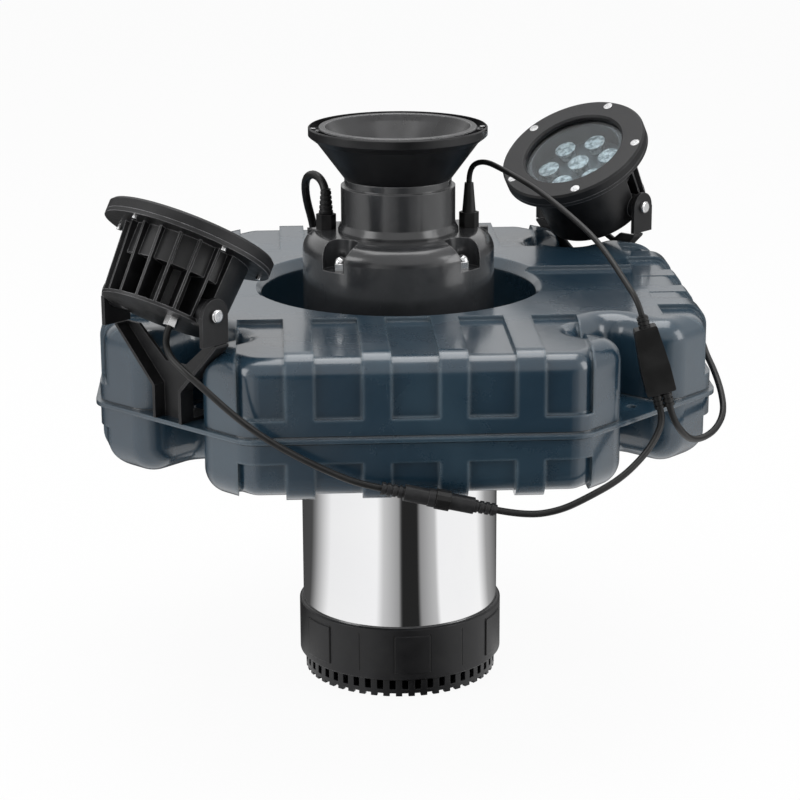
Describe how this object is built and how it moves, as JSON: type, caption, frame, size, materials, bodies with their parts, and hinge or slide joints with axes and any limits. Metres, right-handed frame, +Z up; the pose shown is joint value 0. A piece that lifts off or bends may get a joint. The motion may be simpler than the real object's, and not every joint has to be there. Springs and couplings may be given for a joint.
{
  "type": "pond aerator",
  "caption": "Floating pond aerator: a submersible fountain pump with a cone nozzle, hung in a square ribbed float, with tilting lamps on brackets and plug-in cords.",
  "frame": {"origin": "on the pump's axis, in the plane of the strainer's foot", "axes": "+Z up the pump's axis; -Y towards the side of the float that carries the visible plug pair; +X to the right of it"},
  "size_m": [0.5766, 0.6128, 0.537],
  "materials": {
    "float_plastic": "satin blow-moulded polyethylene, dark slate blue",
    "black_plastic": "satin black moulded plastic",
    "grey_plastic": "satin charcoal moulded plastic",
    "polished_steel": "mirror-polished stainless steel",
    "plain_steel": "plain stainless steel",
    "bright_steel": "bright stainless fasteners",
    "core_steel": "laminated core steel",
    "bearing_steel": "ground steel",
    "winding": "enamelled copper windings",
    "cast_alloy": "as-cast aluminium",
    "gland_plastic": "black nylon and rubber",
    "black_paint": "black powder coat on pressed steel",
    "cord_rubber": "black cable sheath",
    "connector_plastic": "black moulded connector",
    "nut_plastic": "black knurled nut",
    "lamp_alloy": "black coated cast aluminium",
    "lamp_bezel": "black coated ring",
    "lamp_glass": "clear flat glass",
    "led_board": "pale board",
    "lens_plastic": "clear moulded lenses",
    "seal_rubber": "black seal rubber"
  },
  "bodies": {
    "root": {"float_body": "float_plastic", "strainer_base": "black_plastic", "suction_plate": "grey_plastic", "outer_jacket": "polished_steel", "motor_can": "plain_steel", "stator_core": "core_steel", "stator_windings": "winding", "lower_end_cap": "cast_alloy", "upper_end_cap": "cast_alloy", "bearings": "bearing_steel", "dome_housing": "grey_plastic", "dome_nuts": "bright_steel", "tie_rods": "bright_steel", "outlet_collar": "grey_plastic", "nozzle_outer_cone": "black_plastic", "nozzle_inner_cone": "black_plastic", "nozzle_screws": "bright_steel", "mounting_ring": "plain_steel", "ring_bolts": "bright_steel", "power_gland": "gland_plastic", "light_gland": "gland_plastic", "left_bracket": "black_paint", "right_bracket": "black_paint", "bracket_bolts": "bright_steel", "light_lead": "cord_rubber", "splitter": "cord_rubber", "left_lead": "cord_rubber", "left_socket": "connector_plastic", "left_plug": "connector_plastic", "left_lamp_cord": "cord_rubber", "right_lead": "cord_rubber", "right_socket": "connector_plastic", "right_plug": "connector_plastic", "right_lamp_cord": "cord_rubber", "power_cord": "cord_rubber", "power_coil": "cord_rubber", "power_plug": "connector_plastic"},
    "rotor": {"shaft": "bearing_steel", "rotor_core": "core_steel", "impeller": "grey_plastic", "seal_ring": "seal_rubber"},
    "left_lamp": {"left_lamp_housing": "lamp_alloy", "left_lamp_bezel": "lamp_bezel", "left_lamp_glass": "lamp_glass", "left_lamp_gasket": "seal_rubber", "left_lamp_led_board": "led_board", "left_lamp_lenses": "lens_plastic", "left_lamp_screws": "bright_steel", "left_lamp_gland": "bright_steel"},
    "right_lamp": {"right_lamp_housing": "lamp_alloy", "right_lamp_bezel": "lamp_bezel", "right_lamp_glass": "lamp_glass", "right_lamp_gasket": "seal_rubber", "right_lamp_led_board": "led_board", "right_lamp_lenses": "lens_plastic", "right_lamp_screws": "bright_steel", "right_lamp_gland": "bright_steel"},
    "left_nut": {"left_coupling_nut": "nut_plastic"},
    "right_nut": {"right_coupling_nut": "nut_plastic"}
  },
  "joints": [
    {"name": "rotor_spin", "type": "hinge", "parent": "root", "child": "rotor", "pos_m": [0, 0, 0.2], "axis": [0, 0, 1], "continuous": true},
    {"name": "left_lamp_tilt", "type": "hinge", "parent": "root", "child": "left_lamp", "pos_m": [-0.21397, -0.21397, 0.421], "axis": [-0.7071, 0.7071, 0], "range_deg": [-55, 10], "deforming": ["left_lamp_cord"]},
    {"name": "right_lamp_tilt", "type": "hinge", "parent": "root", "child": "right_lamp", "pos_m": [0.21397, 0.21397, 0.421], "axis": [0.7071, -0.7071, 0], "range_deg": [-55, 10], "deforming": ["right_lamp_cord"]},
    {"name": "left_nut_turn", "type": "hinge", "parent": "root", "child": "left_nut", "pos_m": [0.02133, -0.287, 0.26238], "axis": [0.9761, 0, -0.2173], "continuous": true},
    {"name": "right_nut_turn", "type": "hinge", "parent": "root", "child": "right_nut", "pos_m": [0.2868, 0.02813, 0.33734], "axis": [0, -0.9976, -0.0691], "continuous": true}
  ]
}
